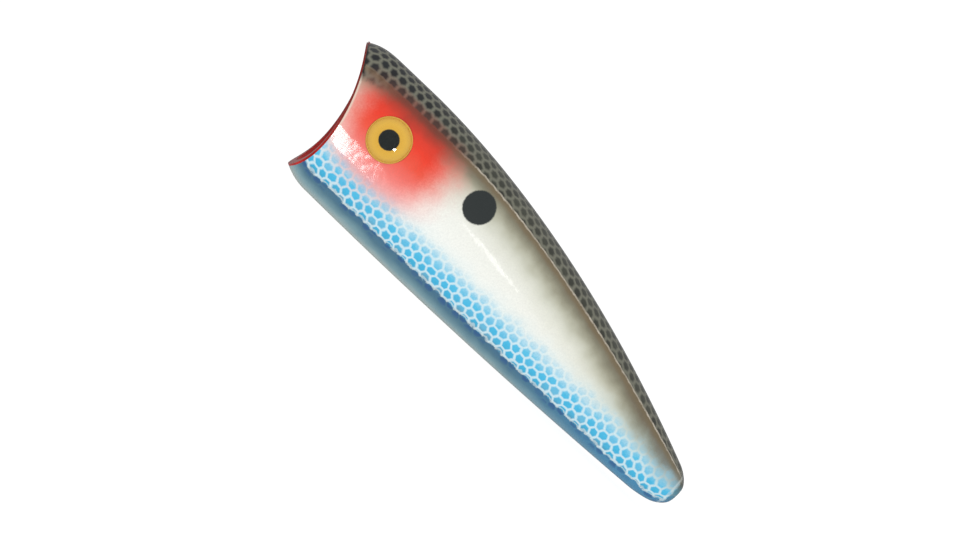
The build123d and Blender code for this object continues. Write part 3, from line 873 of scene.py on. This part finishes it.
def inner_mouldings(side, name):
    """The mouldings of one half: a rib, to which the others are added and cut one after another."""
    nose_boss_back = CUP_DEPTH + CUP_WALL + CLEARANCE
    nose_boss_length = NOSE_RIB_BACK + RIB / 2 - nose_boss_back
    belly_boss_length = BELLY_BOSS_TOP - BELLY_BOSS_FOOT
    cell_backs = [CELLS_BACK + number * (CELL_LENGTH + CELL_WALL) for number in range(4)]
    tube_length = cell_backs[3] - CELLS_BACK
    added = [slab(back, RIB) for back in CRADLE_RIBS_BACK]
    added += [slab(back - CELL_WALL, CELL_WALL) for back in cell_backs]
    added += [
        slab(TAIL_BLOCK_BACK, LENGTH - TAIL_ROUND - TAIL_BLOCK_BACK),
        rod(BOSS_RADIUS, nose_boss_length, nose_boss_back, LINE_TIE_HEIGHT),
        rod(BOSS_RADIUS, belly_boss_length, BELLY_PILOT_BACK, BELLY_BOSS_FOOT, "Z"),
        rod(CELL_RADIUS + CELL_WALL, tube_length, CELLS_BACK - CELL_WALL / 2, CELL_HEIGHT),
    ]
    added += [cross_rod(PIN_BOSS_RADIUS, PIN_BOSS_LENGTH, *pin) for pin in PINS]
    cut = [rod(CELL_RADIUS, CELL_LENGTH, back, CELL_HEIGHT) for back in cell_backs[:3]]
    cut += [
        rod(BALLAST_RADIUS + CLEARANCE, BALLAST_LENGTH, BALLAST_BACK, BALLAST_HEIGHT),
        rod(PILOT_RADIUS, NOSE_PILOT, CUP_DEPTH, LINE_TIE_HEIGHT),
        rod(PILOT_RADIUS, BELLY_PILOT, BELLY_PILOT_BACK, 0, "Z"),
        rod(PILOT_RADIUS, TAIL_PILOT, LENGTH - TAIL_PILOT, TAIL_PILOT_HEIGHT),
        bmesh.new(),
    ]
    other_half = Matrix.Translation((0, -side * LENGTH * MM, 0))
    bmesh.ops.create_cube(cut[-1], size=2 * LENGTH * MM, matrix=other_half)
    if side > 0:
        pins = [(cross_rod(PIN_RADIUS, PIN_LENGTH, *pin), "UNION") for pin in PINS]
    else:
        radius, reach = PIN_RADIUS + PIN_GAP, PIN_LENGTH + 2 * PIN_GAP
        pins = [(cross_rod(radius, reach, *pin), "DIFFERENCE") for pin in PINS]
    piece = finished(slab(NOSE_RIB_BACK, RIB), name)
    steps = [(made, "UNION") for made in added] + [(made, "DIFFERENCE") for made in cut] + pins
    worked(piece, steps, "MANIFOLD", 30)
    return piece


# Injection-moulded ABS left bare: ivory white and satin, with flow marks 2.5 mm wide
white_abs, add = material("moulded_white_abs")
in_mm = place_in_mm(add)
flow = add("TexNoise", {"Vector": in_mm, "Scale": 0.4, "Detail": 2.0})
tone = add("ValToRGB", {0: flow}, stops=[(0.3, "#DEDACB"), (0.7, "#EAE7DB")])
rough = add("MapRange", {"Value": flow, "To Min": 0.3, "To Max": 0.45})
bump = add("Bump", {"Height": flow, "Strength": 0.2, "Distance": 0.00005})
shader = add("BsdfPrincipled", {"Base Color": tone, "Roughness": rough, "IOR": 1.52, "Normal": bump})
add("OutputMaterial", {"Surface": shader})
for side, name in ((1, "left"), (-1, "right")):
    inner = inner_mouldings(side, name + "_mouldings")
    inner.data.materials.clear()
    inner.data.materials.append(white_abs)
    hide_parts(name + "_shell")
    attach(inner, "lure_body")

# The half shells themselves are bare on the faces that look inwards
for shell in (left_shell, right_shell):
    shell.data.materials.append(white_abs)
    for face in shell.data.polygons:
        keel = keel_height(CUP_DEPTH - face.center.x / MM)  # outwards is away from above it
        outwards = face.center + Vector((0, 0, LINE_TIE_HEIGHT - keel)) * MM / 2
        outwards.x = 0
        if face.normal.dot(outwards) < -0.2 * outwards.length:
            face.material_index = 1

# ------------------------------ Ballast
# A cast brass slug in a cradle behind the rattles, so that the lure floats tail down. It is as it
# left the mould: dull, with a fine cast grain.
brass, add = material("sand_cast_brass")
in_mm = place_in_mm(add)
grain = add("TexNoise", {"Vector": in_mm, "Scale": 3.0, "Detail": 4.0})
tone = add("ValToRGB", {0: grain}, stops=[(0.3, "#A07A3A"), (0.7, "#D2B06A")])
bump = add("Bump", {"Height": grain, "Strength": 0.5, "Distance": 0.00008})
rough = add("MapRange", {"Value": grain, "To Min": 0.32, "To Max": 0.5})
shader = add("BsdfPrincipled", {"Base Color": tone, "Metallic": 1.0, "Roughness": rough, "Normal": bump})
add("OutputMaterial", {"Surface": shader})
nodes["tail_ballast"].data.materials.clear()
nodes["tail_ballast"].data.materials.append(brass)

# ------------------------------ Rattle balls
# Three loose bearing balls, ground and polished steel, each in a cell of its own. They show a
# mirror finish with a haze of fine scuffs from knocking on the cell walls.
steel, add = material("polished_bearing_steel")
in_mm = place_in_mm(add)
scuffs = add("TexNoise", {"Vector": in_mm, "Scale": 6.0, "Detail": 3.0})
tone = add("ValToRGB", {0: scuffs}, stops=[(0.35, "#A9A9A8"), (0.65, "#CFCFCE")])
rough = add("MapRange", {"Value": scuffs, "To Min": 0.1, "To Max": 0.24})
bump = add("Bump", {"Height": scuffs, "Strength": 0.15, "Distance": 0.00002})
shader = add("BsdfPrincipled", {"Base Color": tone, "Metallic": 1.0, "Roughness": rough, "Normal": bump})
add("OutputMaterial", {"Surface": shader})
for name in ("rattle_ball_front", "rattle_ball_middle", "rattle_ball_rear"):
    nodes[name].data.materials.clear()
    nodes[name].data.materials.append(steel)

# ------------------------------ Floor and studio light
# A white table under the keel and a white surround, with soft fill light all round. Small lights
# on the camera's side make the streak on the flank, the gleam by the mouth and the eye's glint.
FLOOR_HALF = 3.0  # metres
made = bmesh.new()
bmesh.ops.create_grid(made, x_segments=1, y_segments=1, size=FLOOR_HALF)
bmesh.ops.translate(made, vec=(0, 0, -(LINE_TIE_HEIGHT + 0.05) * MM), verts=made.verts)
floor = finished(made, "floor")
white, add = material("matt_white_table")
shader = add("BsdfPrincipled", {
    "Base Color": linear("#707070"), "Roughness": 0.9, "Specular IOR Level": 0.0,
    "Emission Color": (1, 1, 1, 1), "Emission Strength": 0.93,
})
add("OutputMaterial", {"Surface": shader})
floor.data.materials.append(white)
floor.visible_glossy = False
floor.visible_shadow = False

# The surround is pure white to the camera, and dimmer as a light on the body
world = bpy.data.worlds.new("surround")
scene.world = world
add = cleared(world)
path = add("LightPath").node
strength = add("Math", {0: path.outputs["Is Diffuse Ray"], 1: 0.56, 2: 0.22}, operation="MULTIPLY_ADD")
strength = add("Math", {0: path.outputs["Is Camera Ray"], 1: 0.8, 2: strength}, operation="MULTIPLY_ADD")
surround = add("Background", {"Color": (1, 1, 1, 1), "Strength": strength})
add("OutputWorld", {"Surface": surround})


def softbox(name, aim, yaw, rise, width, height, watts, lean=0, away=0.6):
    """An area light that faces a point of the body (in mm) from this direction, in degrees, leaning
    to the right by an angle."""
    data = bpy.data.lights.new(name, "AREA")
    data.shape = "RECTANGLE"
    data.size, data.size_y, data.energy = width, height, watts
    lamp = bpy.data.objects.new(name, data)
    scene.collection.objects.link(lamp)
    yaw, rise = math.radians(yaw), math.radians(rise)
    toward = Vector((math.sin(yaw) * math.cos(rise), math.cos(yaw) * math.cos(rise), math.sin(rise)))
    turned_to = toward.to_track_quat("Z", "Y").to_matrix() @ Matrix.Rotation(-math.radians(lean), 3, "Z")
    lamp.matrix_world = Matrix.Translation(Vector(aim) * MM + toward * away) @ turned_to.to_4x4()
    return lamp


fill = softbox("overhead_softbox", (-27, 0, 0), 20, 55, 0.6, 0.5, 0.55)
fill.visible_glossy = False
strip = softbox("strip_light", (-22, 8, 1.5), -13.8, 1.8, 0.03, 0.08, 0.03, lean=-33)
gleam = softbox("low_softbox", (2.5, 8.7, -0.4), -0.45, -23.5, 0.046, 0.22, 0.48)
glint = softbox("glint_light", (-2.4, 9, 3.4), -25, 6, 0.07, 0.07, 0.6)

# The strip and the low softbox are flagged off the eyes, and the glint light lights only them
skins, domes = bpy.data.collections.new("skins"), bpy.data.collections.new("domes")
for piece in bpy.data.objects:
    if piece.name.endswith("_skin"):
        skins.objects.link(piece)
    if piece.name.endswith("_eye_dome"):
        domes.objects.link(piece)
strip.light_linking.receiver_collection = skins
gleam.light_linking.receiver_collection = skins
glint.light_linking.receiver_collection = domes
